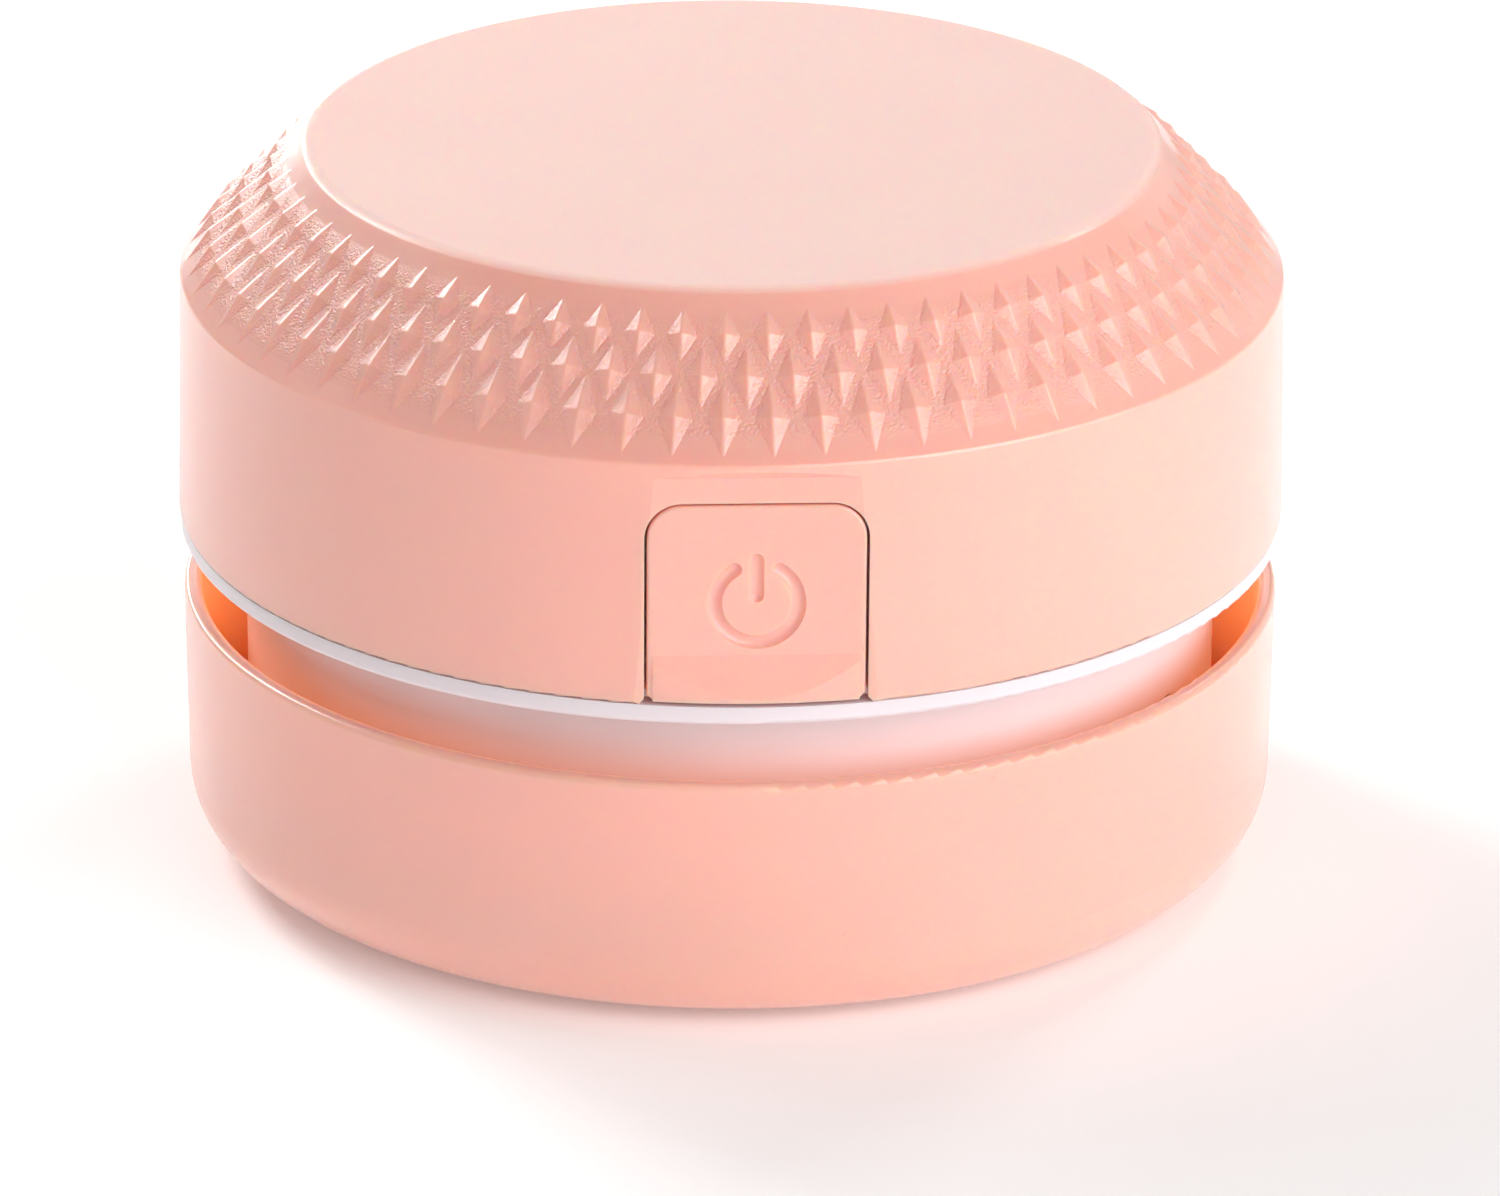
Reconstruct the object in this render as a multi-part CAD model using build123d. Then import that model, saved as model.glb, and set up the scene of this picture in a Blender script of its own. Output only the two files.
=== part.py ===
from build123d import *
import os
from math import atan2, cos, degrees, hypot, pi, radians, sin, sqrt

# A desktop vacuum cleaner. Millimetres, +Z up, origin at the bottom centre, the button faces -Y.

# Clearances
running_gap = 0.3
seat_gap = 0.05
shaft_gap = 0.04
overrun = 1.0

# Outer form, from the floor up
foot_height = 0.8
rim_height = 21.2
outlet_gap = 5.0
ring_thickness = 1.45
wall_height = 19.25
cone_height = 10.5

# Upper housing
shell_foot_radius = 43.3
wall_taper = 0.3
cone_inset = 10.0
shell_wall = 1.8
top_edge_radius = 1.2
shoulder_edge_radius = 0.35
shell_foot_edge_radius = 0.3

# Knurled grip band on the cone
knurl_count = 70
knurl_rows = 3
knurl_foot = 3.8
knurl_row_pitch = 3.35
knurl_length = 6.4
knurl_top_length = 4.5
knurl_width = 2.6
knurl_relief = 0.5
knurl_root = 0.15
knurl_ridge_radius = 0.4
knurl_phase_share = 0.32

# Power button and the flat that it sits in
button_width = 16.4
button_head_room = 3.35
button_corner = 2.6
button_gap = 0.2
button_travel = 1.0
button_lip = 1.0
button_lip_thickness = 1.0
button_edge_radius = 0.25
button_foot_chamfer = 0.45
button_foot_reach = 0.9
button_foot_rise = 3.6
notch_flare = 0.45
bezel_wall = 2.0
bezel_side = 3.0
flat_top_gap = 0.2
flat_run_out = 0.9
stem_radius = 2.0
stem_length = 2.0
sign_radius = 3.15
sign_stroke_radius = 0.6
sign_depth = 0.4
sign_opening = 64.0
sign_bar_length = 2.8
sign_bar_rise = 2.0

# Dust cup
cup_inset = 0.3
cup_taper = 0.3
cup_wall = 1.4
cup_floor = 1.8
cup_corner = 5.4
cup_rim_edge_radius = 0.5
foot_radius = 2.4
foot_inset = 2.9
foot_count = 4
foot_azimuth = 45.0
collar_gap = 0.4
collar_wall = 1.6
collar_land = 0.9
lug_height = 16.4
lug_radius = 1.3
lug_count = 3
lug_azimuth = -30.0
thread_lead = 104.4
mouth_radius = 8.0
mouth_wall = 1.4
mouth_gap = 1.5
well_radius = 22.0
well_depth = 4.2
well_wall = 1.6

# Brush round the suction mouth
brush_mouth_gap = 2.5
brush_ring_thickness = 1.4
bristle_inner_edge = 2.5
bristle_outer_edge = 3.3
bristle_rows = 4
bristle_pitch = 1.0
bristle_side = 0.42
bristle_back = 0.5
bristle_margin = 1.0

# Seal ring on the collar
seal_height = 1.3

# Fan housing: white ring, skirt and fan deck
ring_inset = 0.1
ring_edge_radius = 0.4
flange_width = 5.1
skirt_wall = 1.5
skirt_reach = 17.3
deck_thickness = 1.5
eye_radius = 15.0
vent_width = 2.2
vent_length = 7.0
vents_per_quarter = 5
vent_spacing = 13.0

# Filter cartridge
filter_gap = 6.2
filter_wall = 2.6
filter_height = 7.3
filter_grid = 1.5
filter_bar = 1.6
filter_bars = 3
filter_hub_radius = 5.0
mesh_thickness = 0.4
mesh_hole = 2.4
mesh_pitch = 4.0
pad_thickness = 3.3
spigot_wall = 1.4
spigot_depth = 1.9

# Impeller
impeller_side_gap = 2.5
impeller_gap = 0.6
blade_height = 6.6
blade_thickness = 1.1
blade_count = 9
blade_root_radius = 9.0
blade_lean_share = 0.38
blade_sweep = 34.0
back_plate = 1.2
hub_radius = 4.0
head_clearance = 0.4

# Motor
can_radius = 12.2
motor_head_room = 2.1
can_wall = 0.9
can_edge_radius = 0.8
boss_radius = 4.8
bush_radius = 3.0
shaft_radius = 1.0
end_cap_thickness = 2.2
magnet_thickness = 2.0
magnet_split = 6.0
air_gap = 0.5
armature_end_gap = 0.45
armature_slot = 1.6
armature_slot_depth = 4.0
armature_slot_count = 3
commutator_radius = 3.2
commutator_length = 2.6
terminal_width = 2.4
terminal_thickness = 0.5
terminal_height = 2.0
terminal_offset = 6.0

# Motor bracket
bracket_thickness = 1.8
bracket_margin = 0.6
post_radius = 2.5
post_count = 3
post_azimuth = 30.0

# Screws
screw_radius = 1.05
screw_head_radius = 2.0
screw_head_height = 1.5
screw_drive_width = 0.6
screw_drive_length = 2.2
screw_drive_depth = 0.6
screw_hole_gap = 0.3
screw_length = 9.0
screw_sink = 1.0
post_screw_length = 8.0
motor_screw_head_height = 1.2
motor_screw_circle = 8.4
motor_screw_count = 2
boss_wall = 1.5
housing_screw_azimuth = 45.0
housing_screw_count = 4

# Battery cell and its cradle
cell_radius = 7.0
cell_lane = 5.3
cell_edge_radius = 0.6
cradle_floor = 1.0
cradle_width = 11.0
cradle_rise = 2.6
cradle_end = 1.4
cradle_end_rise = 7.0
cradle_wall_gap = 2.7
tab_thickness = 0.3
tab_width = 5.0
tab_height = 8.0
tab_room = 0.9

# Control board, charging socket and charge light
board_thickness = 1.2
board_width = 26.0
board_standoff = 1.8
board_motor_gap = 3.5
board_wall_gap = 1.55
standoff_radius = 1.8
standoff_offset = 9.0
chip_width = 5.0
chip_depth = 4.0
chip_height = 1.2
chip_spacing = 8.0
socket_width = 9.0
socket_height = 3.2
socket_length = 7.4
socket_wall = 0.35
socket_recess = 0.9
tongue_width = 6.6
tongue_thickness = 0.7
tongue_length = 4.6
socket_back = 1.6
light_offset = 9.0
light_radius = 1.0
light_flange_radius = 1.6
light_flange_thickness = 0.8
led_width = 1.8
led_depth = 1.2

# Push switch behind the button
plunger_radius = 1.7
switch_width = 6.0
switch_depth = 3.4
switch_back_wall = 0.5
switch_board_width = 14.0
switch_board_rise = 5.0
switch_arm = 1.6
switch_foot_depth = 6.0
switch_foot_thickness = 1.4

# Leads
lead_radius = 0.6
lead_bend = 2.4
lead_rise = 3.2
switch_lead_radius = 0.9

# Heights and radii worked out from the sizes above
ring_low = rim_height + outlet_gap
ring_top = ring_low + ring_thickness
shoulder = ring_top + wall_height
top = shoulder + cone_height
shoulder_radius = shell_foot_radius - wall_taper
top_radius = shoulder_radius - cone_inset
cone_share = cone_inset / cone_height
cone_lean = hypot(1, cone_share)
inner_foot_radius = shell_foot_radius - shell_wall
inner_shoulder_radius = shoulder_radius - shell_wall
inner_shoulder = shoulder - shell_wall * (cone_lean - 1) / cone_share
inner_top = top - shell_wall
inner_top_radius = shoulder_radius - cone_share * (cone_height - shell_wall) - shell_wall * cone_lean
wall_middle_radius = (shell_foot_radius + shoulder_radius) / 2
wall_inner_middle = (inner_foot_radius + inner_shoulder_radius) / 2

ring_radius = shell_foot_radius - ring_inset
skirt_radius = ring_radius - flange_width
skirt_inner = skirt_radius - skirt_wall
skirt_low = ring_low - skirt_reach
collar_radius = skirt_inner - collar_gap
collar_inner = collar_radius - collar_wall
collar_top = lug_height + lug_radius + collar_land
cup_rim_radius = shell_foot_radius - cup_inset
cup_base_radius = cup_rim_radius - cup_taper
foot_circle = cup_base_radius - cup_corner - foot_inset - foot_radius
floor_top = foot_height + cup_floor
well_top = foot_height + well_depth
plateau_top = well_top + cup_floor
brush_inner_radius = mouth_radius + brush_mouth_gap
bristle_inner_circle = brush_inner_radius + bristle_inner_edge
bristle_outer_circle = well_radius - bristle_outer_edge
bristle_row_pitch = (bristle_outer_circle - bristle_inner_circle) / (bristle_rows - 1)

seal_low = collar_top + running_gap
deck_low = seal_low + seal_height + running_gap
deck_top = deck_low + deck_thickness
filter_radius = collar_inner - filter_gap
filter_inner = filter_radius - filter_wall
filter_low = deck_low - filter_height
spigot_radius = filter_inner - seat_gap
chimney_top = filter_low - mouth_gap
post_circle = (collar_inner + filter_radius) / 2
bracket_radius = post_circle + post_radius + bracket_margin
impeller_radius = post_circle - post_radius - impeller_side_gap
impeller_low = deck_top + impeller_gap
blade_top = impeller_low + blade_height
impeller_top = blade_top + back_plate

bracket_low = impeller_top + head_clearance + motor_screw_head_height
bracket_top = bracket_low + bracket_thickness
terminal_top = inner_top - motor_head_room
end_cap_top = terminal_top - terminal_height
can_top = end_cap_top - end_cap_thickness
can_inner = can_radius - can_wall
magnet_inner = can_inner - seat_gap - magnet_thickness
armature_radius = magnet_inner - air_gap
armature_low = bracket_top + can_wall + commutator_length + armature_end_gap
armature_high = can_top - commutator_length - armature_end_gap

screw_hole_radius = screw_radius + screw_hole_gap
pilot_radius = screw_radius + seat_gap
housing_boss_radius = pilot_radius + boss_wall
housing_screw_circle = skirt_radius + screw_head_radius + running_gap

notch_half = button_width / 2 + button_gap
button_low = ring_top + running_gap
button_top = shoulder - button_head_room
button_middle = (button_low + button_top) / 2
flat_front = -sqrt(wall_middle_radius**2 - notch_half**2)
bezel_back = flat_front + bezel_wall
lip_front = bezel_back + running_gap
lip_back = lip_front + button_lip_thickness
stem_back = lip_back + stem_length
plunger_front = stem_back + running_gap
switch_front = plunger_front + button_travel + running_gap
switch_back = switch_front + switch_depth
switch_well_end = switch_back - switch_back_wall
plunger_back = switch_well_end - button_travel - running_gap
switch_board_back = switch_back + board_thickness
switch_middle = bracket_top + switch_foot_thickness + switch_width / 2
switch_top = switch_middle + switch_board_rise

cell_offset = can_radius + cell_lane + cell_radius
cell_height = bracket_top + cradle_floor + cell_radius
cradle_corner_radius = inner_shoulder_radius - cradle_wall_gap
cradle_half = sqrt(cradle_corner_radius**2 - (cell_offset + cradle_width / 2) ** 2)
cradle_inner_half = cradle_half - cradle_end
tab_back = cradle_inner_half - tab_room
cell_half = tab_back - tab_thickness
board_low = bracket_top + board_standoff
board_top = board_low + board_thickness
board_front = can_radius + board_motor_gap
board_back = sqrt((wall_inner_middle - board_wall_gap) ** 2 - (board_width / 2) ** 2)
socket_height_middle = board_top + socket_height / 2
socket_mouth = wall_middle_radius - socket_recess
socket_end = socket_mouth - socket_length


def disc(radius, low, high):
    return Pos(0, 0, low) * Cylinder(radius, high - low, align=(Align.CENTER, Align.CENTER, Align.MIN))


def ring(outer, inner, low, high):
    return disc(outer, low, high) - disc(inner, low - overrun, high + overrun)


def block(x_low, x_high, y_low, y_high, low, high):
    centre = Pos((x_low + x_high) / 2, (y_low + y_high) / 2, (low + high) / 2)
    return centre * Box(x_high - x_low, y_high - y_low, high - low)


def lathe(points):
    return revolve(make_face(Plane.XZ * Polyline(*points, close=True)), axis=Axis.Z)


def around(count, first=0.0):
    return [Rot(0, 0, first + index * 360 / count) for index in range(count)]


def upright(outline, front, back):
    """Prism of an X-Z outline between two Y planes."""
    plane = Plane(origin=(0, back, 0), x_dir=(1, 0, 0), z_dir=(0, -1, 0))
    return extrude(plane * outline, amount=back - front)


def rod(radius, front, back, x, height):
    return upright(Pos(x, height) * Circle(radius), front, back)


def tube(radius, points, bend):
    path = FilletPolyline(*points, radius=bend)
    start = Plane(origin=path @ 0, z_dir=path % 0)
    return sweep(start * Circle(radius), path=path)


def screw(length, head_height):
    """Pan-head screw with its shank along +Z and the head below z = 0."""
    head = disc(screw_head_radius, -head_height, 0)
    drive_half = screw_drive_length / 2
    slot_half = screw_drive_width / 2
    drive_top = screw_drive_depth - head_height
    drive = block(-drive_half, drive_half, -slot_half, slot_half, -head_height - overrun, drive_top)
    return head + disc(screw_radius, 0, length) - drive - Rot(0, 0, 90) * drive


def sunk_screw(length):
    """Flat-head screw with its shank along +Z and the head's flat face at z = 0."""
    form = lathe(
        [
            (0, 0),
            (screw_head_radius, 0),
            (screw_radius, screw_sink),
            (screw_radius, length),
            (0, length),
        ]
    )
    drive_half = screw_drive_length / 2
    slot_half = screw_drive_width / 2
    drive = block(-drive_half, drive_half, -slot_half, slot_half, -overrun, screw_drive_depth)
    return form - drive - Rot(0, 0, 90) * drive


def sunk_hole(depth):
    """Clearance for a flat-head screw through a plate that starts at z = 0."""
    return lathe(
        [
            (0, -overrun),
            (screw_head_radius + seat_gap, -overrun),
            (screw_head_radius + seat_gap, 0),
            (screw_hole_radius, screw_sink),
            (screw_hole_radius, depth + overrun),
            (0, depth + overrun),
        ]
    )


def button_outline(grow, low):
    high = button_top + grow
    plate = Pos(0, (low + high) / 2) * Rectangle(button_width + 2 * grow, high - low)
    return fillet(plate.vertices().group_by(Axis.Y)[-1], button_corner + grow)


def knurl_stud(length, width):
    """Four-sided pyramid with rounded ridges on a diamond base, length along X, rising along +Z."""
    spread = (knurl_relief + knurl_root) / knurl_relief
    half_length = spread * length / 2
    half_width = spread * width / 2
    base = [(half_length, 0), (0, half_width), (-half_length, 0), (0, -half_width)]
    corners = [Vector(x, y, -knurl_root) for x, y in base]
    peak = Vector(0, 0, knurl_relief)
    faces = [Face(Wire.make_polygon(list(reversed(corners))))]
    for index in range(len(corners)):
        following = corners[(index + 1) % len(corners)]
        faces.append(Face(Wire.make_polygon([corners[index], following, peak])))
    stud = Solid(Shell(faces))
    ridges = stud.edges().sort_by(Axis.Z)[-len(corners) :]
    return fillet(ridges, knurl_ridge_radius).solid()


def knurl_studs():
    cone_tilt = degrees(atan2(cone_height, cone_inset))
    up_share = sin(radians(cone_tilt))
    in_share = cos(radians(cone_tilt))
    lowest_radius = shoulder_radius - knurl_foot * in_share
    turn = 360 / knurl_count
    length_step = (knurl_length - knurl_top_length) / (knurl_rows - 1)
    studs = []
    for row in range(knurl_rows):
        climb = knurl_foot + row * knurl_row_pitch
        radius = shoulder_radius - climb * in_share
        size_share = radius / lowest_radius
        stud = knurl_stud(knurl_length - row * length_step, knurl_width * size_share)
        seat = Pos(radius, 0, shoulder + climb * up_share) * Rot(0, cone_tilt - 180, 0) * Rot(180, 0, 0)
        phase = turn * (knurl_phase_share + row / 2) - 90
        studs += [spin * seat * stud for spin in around(knurl_count, phase)]
    return studs


def upper_housing():
    form = lathe(
        [
            (0, ring_top),
            (shell_foot_radius, ring_top),
            (shoulder_radius, shoulder),
            (top_radius, top),
            (0, top),
        ]
    )
    rims = form.edges().filter_by(GeomType.CIRCLE).sort_by(Axis.Z)
    form = fillet(rims[2], top_edge_radius)
    rims = form.edges().filter_by(GeomType.CIRCLE).sort_by(Axis.Z)
    form = fillet(rims[1], shoulder_edge_radius)
    rims = form.edges().filter_by(GeomType.CIRCLE).sort_by(Axis.Z)
    form = fillet(rims[0], shell_foot_edge_radius)
    cavity = lathe(
        [
            (0, ring_top - overrun),
            (inner_foot_radius, ring_top - overrun),
            (inner_shoulder_radius, inner_shoulder),
            (inner_top_radius, inner_top),
            (0, inner_top),
        ]
    )
    bezel_half = notch_half + bezel_side
    outside = shell_foot_radius + overrun
    bezel_low = ring_top - 2 * overrun
    bezel = block(-bezel_half, bezel_half, -outside, bezel_back, bezel_low, inner_shoulder)
    shell = form - (cavity - bezel)
    boss_disc = Pos(housing_screw_circle, 0, 0) * disc(housing_boss_radius, ring_top, shoulder)
    bosses = [spin * boss_disc for spin in around(housing_screw_count, housing_screw_azimuth)]
    shell = shell + [boss & form for boss in bosses]
    pilot_top = ring_top + screw_length
    pilot = Pos(housing_screw_circle, 0, 0) * disc(pilot_radius, ring_top - overrun, pilot_top)
    cuts = [spin * pilot for spin in around(housing_screw_count, housing_screw_azimuth)]
    flat_top = shoulder - flat_top_gap
    flat_outline = Polyline(
        (flat_front, ring_top - overrun),
        (flat_front, flat_top - flat_run_out),
        (flat_front - flat_run_out, flat_top),
        (-outside, flat_top),
        (-outside, ring_top - overrun),
        close=True,
    )
    cuts.append(extrude(Plane.YZ * make_face(flat_outline), amount=notch_half + overrun, both=True))
    cuts.append(upright(button_outline(button_gap, ring_top - overrun), -outside, bezel_back + overrun))
    flare = Polyline(
        (-notch_half - notch_flare, ring_top),
        (notch_half + notch_flare, ring_top),
        (notch_half, ring_top + notch_flare),
        (-notch_half, ring_top + notch_flare),
        close=True,
    )
    cuts.append(upright(make_face(flare), -outside, bezel_back + overrun))
    port_width = socket_width + 2 * running_gap
    port_height = socket_height + 2 * running_gap
    port = Pos(0, socket_height_middle) * SlotOverall(port_width, port_height)
    cuts.append(upright(port, socket_end, outside))
    cuts.append(rod(light_radius + seat_gap, socket_end, outside, light_offset, socket_height_middle))
    return (shell - cuts) + knurl_studs()


def power_button():
    button = upright(button_outline(0, button_low), flat_front, lip_front)
    feet = button.edges().filter_by(Axis.Y).group_by(Axis.Z)[0]
    button = chamfer(feet, button_foot_chamfer)
    button = fillet(button.edges().group_by(Axis.Y)[0], button_edge_radius)
    button = button + upright(button_outline(button_lip, button_low), lip_front, lip_back)
    button = button + rod(stem_radius, lip_back, stem_back, 0, switch_middle)
    lift = sign_stroke_radius - sign_depth
    front = Pos(0, flat_front - lift, button_middle) * Rot(90, 0, 0)
    half_turn = sign_opening / 2
    section = Plane.XZ * (Pos(sign_radius, 0) * Circle(sign_stroke_radius))
    arc = revolve(section, axis=Axis.Z, revolution_arc=360 - sign_opening)
    arc = Rot(0, 0, 90 + half_turn) * arc
    ends = [
        Rot(0, 0, 90 + side * half_turn) * Pos(sign_radius, 0, 0) * Sphere(sign_stroke_radius)
        for side in (-1, 1)
    ]
    bar_low = sign_bar_rise - sign_bar_length / 2
    bar_high = sign_bar_rise + sign_bar_length / 2
    bar = Pos(0, sign_bar_rise, 0) * Rot(90, 0, 0) * Cylinder(sign_stroke_radius, sign_bar_length)
    tips = [Pos(0, height, 0) * Sphere(sign_stroke_radius) for height in (bar_low, bar_high)]
    button = button - [front * piece for piece in (arc, *ends, bar, *tips)]
    foot_back = flat_front + button_edge_radius
    foot_outline = Polyline(
        (foot_back, button_low),
        (foot_back, button_low + button_foot_rise),
        (flat_front, button_low + button_foot_rise),
        (flat_front - button_foot_reach, button_low),
        close=True,
    )
    foot_half = button_width / 2 - button_foot_chamfer
    foot = extrude(Plane.YZ * make_face(foot_outline), amount=foot_half, both=True)
    return button + (foot & disc(wall_middle_radius, ring_top, shoulder))


def dust_cup():
    form = lathe(
        [
            (0, foot_height),
            (cup_base_radius, foot_height),
            (cup_rim_radius, rim_height),
            (0, rim_height),
        ]
    )
    form = fillet(form.edges().filter_by(GeomType.CIRCLE).sort_by(Axis.Z)[0], cup_corner)
    hollow = lathe(
        [
            (0, floor_top),
            (cup_base_radius - cup_wall, floor_top),
            (cup_rim_radius - cup_wall, rim_height),
            (cup_rim_radius - cup_wall, rim_height + overrun),
            (0, rim_height + overrun),
        ]
    )
    hollow = fillet(hollow.edges().filter_by(GeomType.CIRCLE).sort_by(Axis.Z)[0], cup_corner - cup_wall)
    cup = form - hollow
    rims = cup.edges().filter_by(GeomType.CIRCLE).group_by(Axis.Z)[-1]
    cup = fillet(rims, cup_rim_edge_radius)
    collar = ring(collar_radius, collar_inner, floor_top - seat_gap, collar_top)
    well = disc(well_radius + well_wall, foot_height, plateau_top)
    chimney = disc(mouth_radius + mouth_wall, well_top, chimney_top)
    lug_axis = Pos(collar_radius - collar_wall / 2, 0, lug_height) * Rot(0, 90, 0)
    lug = lug_axis * disc(lug_radius, 0, collar_wall / 2 + collar_gap + skirt_wall - running_gap)
    lugs = [spin * lug for spin in around(lug_count, lug_azimuth)]
    foot = Pos(foot_circle, 0, 0) * disc(foot_radius, 0, foot_height)
    feet = [spin * foot for spin in around(foot_count, foot_azimuth)]
    cup = cup + [collar, well, chimney, *lugs, *feet]
    mouth = disc(mouth_radius, -overrun, chimney_top + overrun)
    return cup - [disc(well_radius, -overrun, well_top), mouth]


def brush_ring():
    return ring(well_radius - seat_gap, brush_inner_radius, well_top - brush_ring_thickness, well_top)


def brush_bristles():
    back_top = well_top - brush_ring_thickness
    back = ring(
        bristle_outer_circle + bristle_margin,
        bristle_inner_circle - bristle_margin,
        back_top - bristle_back,
        back_top,
    )
    strands = []
    for row in range(bristle_rows):
        circle = bristle_inner_circle + row * bristle_row_pitch
        count = int(2 * pi * circle / bristle_pitch)
        half = bristle_side / 2
        strand = block(circle - half, circle + half, -half, half, running_gap, back_top - bristle_back / 2)
        strands += [spin * strand for spin in around(count, row * 180 / count)]
    return back + strands


def cup_seal():
    return ring(collar_radius, collar_inner, seal_low, seal_low + seal_height)


def thread_slot():
    """Helical slot in the skirt: the closed end is at X, and it runs down past the skirt's lower edge."""
    half = lug_radius + running_gap
    drop = lug_height + half - skirt_low + overrun
    turn = 360 * drop / thread_lead
    depth = skirt_wall + 2 * overrun
    path = Helix(pitch=thread_lead, height=drop, radius=(skirt_inner + skirt_radius) / 2)
    start = Plane(origin=path @ 0, x_dir=(1, 0, 0), z_dir=path % 0)
    groove = sweep(start * Rectangle(depth, 2 * half), path=path, is_frenet=True)
    end = Pos(skirt_inner - overrun, 0, lug_height) * Rot(0, 90, 0) * disc(half + seat_gap, 0, depth)
    return [Pos(0, 0, lug_height - drop) * Rot(0, 0, -turn) * groove, end]


def fan_housing():
    flange = ring(ring_radius, skirt_inner, ring_low, ring_top)
    flange = fillet(flange.edges().filter_by(GeomType.CIRCLE).sort_by(SortBy.RADIUS)[-1], ring_edge_radius)
    skirt = ring(skirt_radius, skirt_inner, skirt_low, ring_top)
    deck = ring(skirt_inner + skirt_wall / 2, eye_radius, deck_low, deck_top)
    spigot = ring(spigot_radius, spigot_radius - spigot_wall, deck_low - spigot_depth, deck_top)
    body = flange + [skirt, deck, spigot]
    hole = Pos(housing_screw_circle, 0, ring_low) * sunk_hole(ring_thickness)
    cuts = [spin * hole for spin in around(housing_screw_count, housing_screw_azimuth)]
    post_hole = Pos(post_circle, 0, 0) * disc(screw_hole_radius, deck_low - overrun, deck_top + overrun)
    cuts += [spin * post_hole for spin in around(post_count, post_azimuth)]
    vent_seat = Pos(housing_screw_circle, 0, ring_low - overrun) * Rot(0, 0, 90)
    vent = extrude(vent_seat * SlotOverall(vent_length, vent_width), amount=ring_thickness + 2 * overrun)
    middle = 180 / housing_screw_count
    for index in range(vents_per_quarter):
        offset = middle + (index - (vents_per_quarter - 1) / 2) * vent_spacing
        cuts += [spin * vent for spin in around(housing_screw_count, housing_screw_azimuth + offset)]
    for spin in around(lug_count, lug_azimuth):
        cuts += [spin * piece for piece in thread_slot()]
    return body - cuts


def filter_frame():
    frame = ring(filter_radius, filter_inner, filter_low, deck_low)
    hub = disc(filter_hub_radius, filter_low, filter_low + filter_grid)
    reach = filter_inner + filter_wall / 2
    bar = block(-reach, reach, -filter_bar / 2, filter_bar / 2, filter_low, filter_low + filter_grid)
    bars = [Rot(0, 0, index * 180 / filter_bars) * bar for index in range(filter_bars)]
    return frame + [hub, *bars]


def filter_mesh():
    low = filter_low + filter_grid
    sheet = disc(filter_inner - seat_gap, low, low + mesh_thickness)
    across = int((filter_inner - mesh_pitch) / mesh_pitch)
    reach = filter_inner - mesh_pitch
    holes = []
    for column in range(-across, across + 1):
        for line in range(-across, across + 1):
            if hypot(column, line) * mesh_pitch < reach:
                spot = Pos(column * mesh_pitch, line * mesh_pitch, 0)
                half = mesh_hole / 2
                holes.append(spot * block(-half, half, -half, half, low - overrun, low + overrun))
    return sheet - holes


def filter_pad():
    low = filter_low + filter_grid + mesh_thickness
    return disc(filter_inner - seat_gap, low, low + pad_thickness)


def impeller():
    hub = disc(hub_radius, impeller_low, impeller_top)
    plate = disc(impeller_radius, blade_top, impeller_top)
    tip_radius = impeller_radius - blade_thickness
    bend_radius = blade_root_radius + (tip_radius - blade_root_radius) / 2
    bend = radians(-blade_sweep * blade_lean_share)
    tip = radians(-blade_sweep)
    line = ThreePointArc(
        (blade_root_radius, 0),
        (bend_radius * cos(bend), bend_radius * sin(bend)),
        (tip_radius * cos(tip), tip_radius * sin(tip)),
    )
    section = Pos(0, 0, impeller_low) * trace(line, blade_thickness)
    blade = extrude(section, amount=blade_height + back_plate / 2)
    wheel = hub + [plate, *[spin * blade for spin in around(blade_count)]]
    return wheel - disc(shaft_radius + seat_gap, impeller_low - overrun, impeller_top + overrun)


def motor_shaft():
    return disc(shaft_radius, impeller_low, end_cap_top - end_cap_thickness / 2)


def motor_armature():
    bore = shaft_radius + seat_gap
    stack = ring(armature_radius, bore, armature_low, armature_high)
    inner = armature_radius - armature_slot_depth
    outer = armature_radius + overrun
    half = armature_slot / 2
    slot = block(inner, outer, -half, half, armature_low - overrun, armature_high + overrun)
    commutator = ring(commutator_radius, bore, armature_high, armature_high + commutator_length)
    return stack - [spin * slot for spin in around(armature_slot_count)] + commutator


def motor_magnets():
    half = magnet_split / 2
    low = armature_low - overrun
    high = armature_high + overrun
    split = block(-half, half, -can_radius, can_radius, low, high)
    return ring(can_inner - seat_gap, magnet_inner, armature_low, armature_high) - split


def motor_can():
    can = disc(can_radius, bracket_top, can_top)
    can = fillet(can.edges().filter_by(GeomType.CIRCLE).sort_by(Axis.Z)[0], can_edge_radius)
    can = can - disc(can_inner, bracket_top + can_wall, can_top + overrun)
    can = can + disc(boss_radius, bracket_low, bracket_top + can_wall)
    face_top = bracket_top + can_wall + overrun
    hole = Pos(motor_screw_circle, 0, 0) * disc(pilot_radius, bracket_top - overrun, face_top)
    holes = [spin * hole for spin in around(motor_screw_count)]
    return can - [disc(bush_radius, bracket_low - overrun, face_top), *holes]


def motor_bush():
    return ring(bush_radius - seat_gap, shaft_radius + shaft_gap, bracket_low, bracket_top + can_wall)


def motor_end_cap():
    cap = disc(can_radius, can_top, end_cap_top)
    cap = fillet(cap.edges().filter_by(GeomType.CIRCLE).sort_by(Axis.Z)[-1], can_edge_radius)
    socket_top = end_cap_top - end_cap_thickness / 2 + shaft_gap
    return cap - disc(shaft_radius + shaft_gap, can_top - overrun, socket_top)


def motor_terminals():
    half_width = terminal_width / 2
    half = terminal_thickness / 2
    blade = block(-half, half, -half_width, half_width, end_cap_top, terminal_top)
    return Compound([Pos(side * terminal_offset, 0, 0) * blade for side in (-1, 1)])


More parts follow.
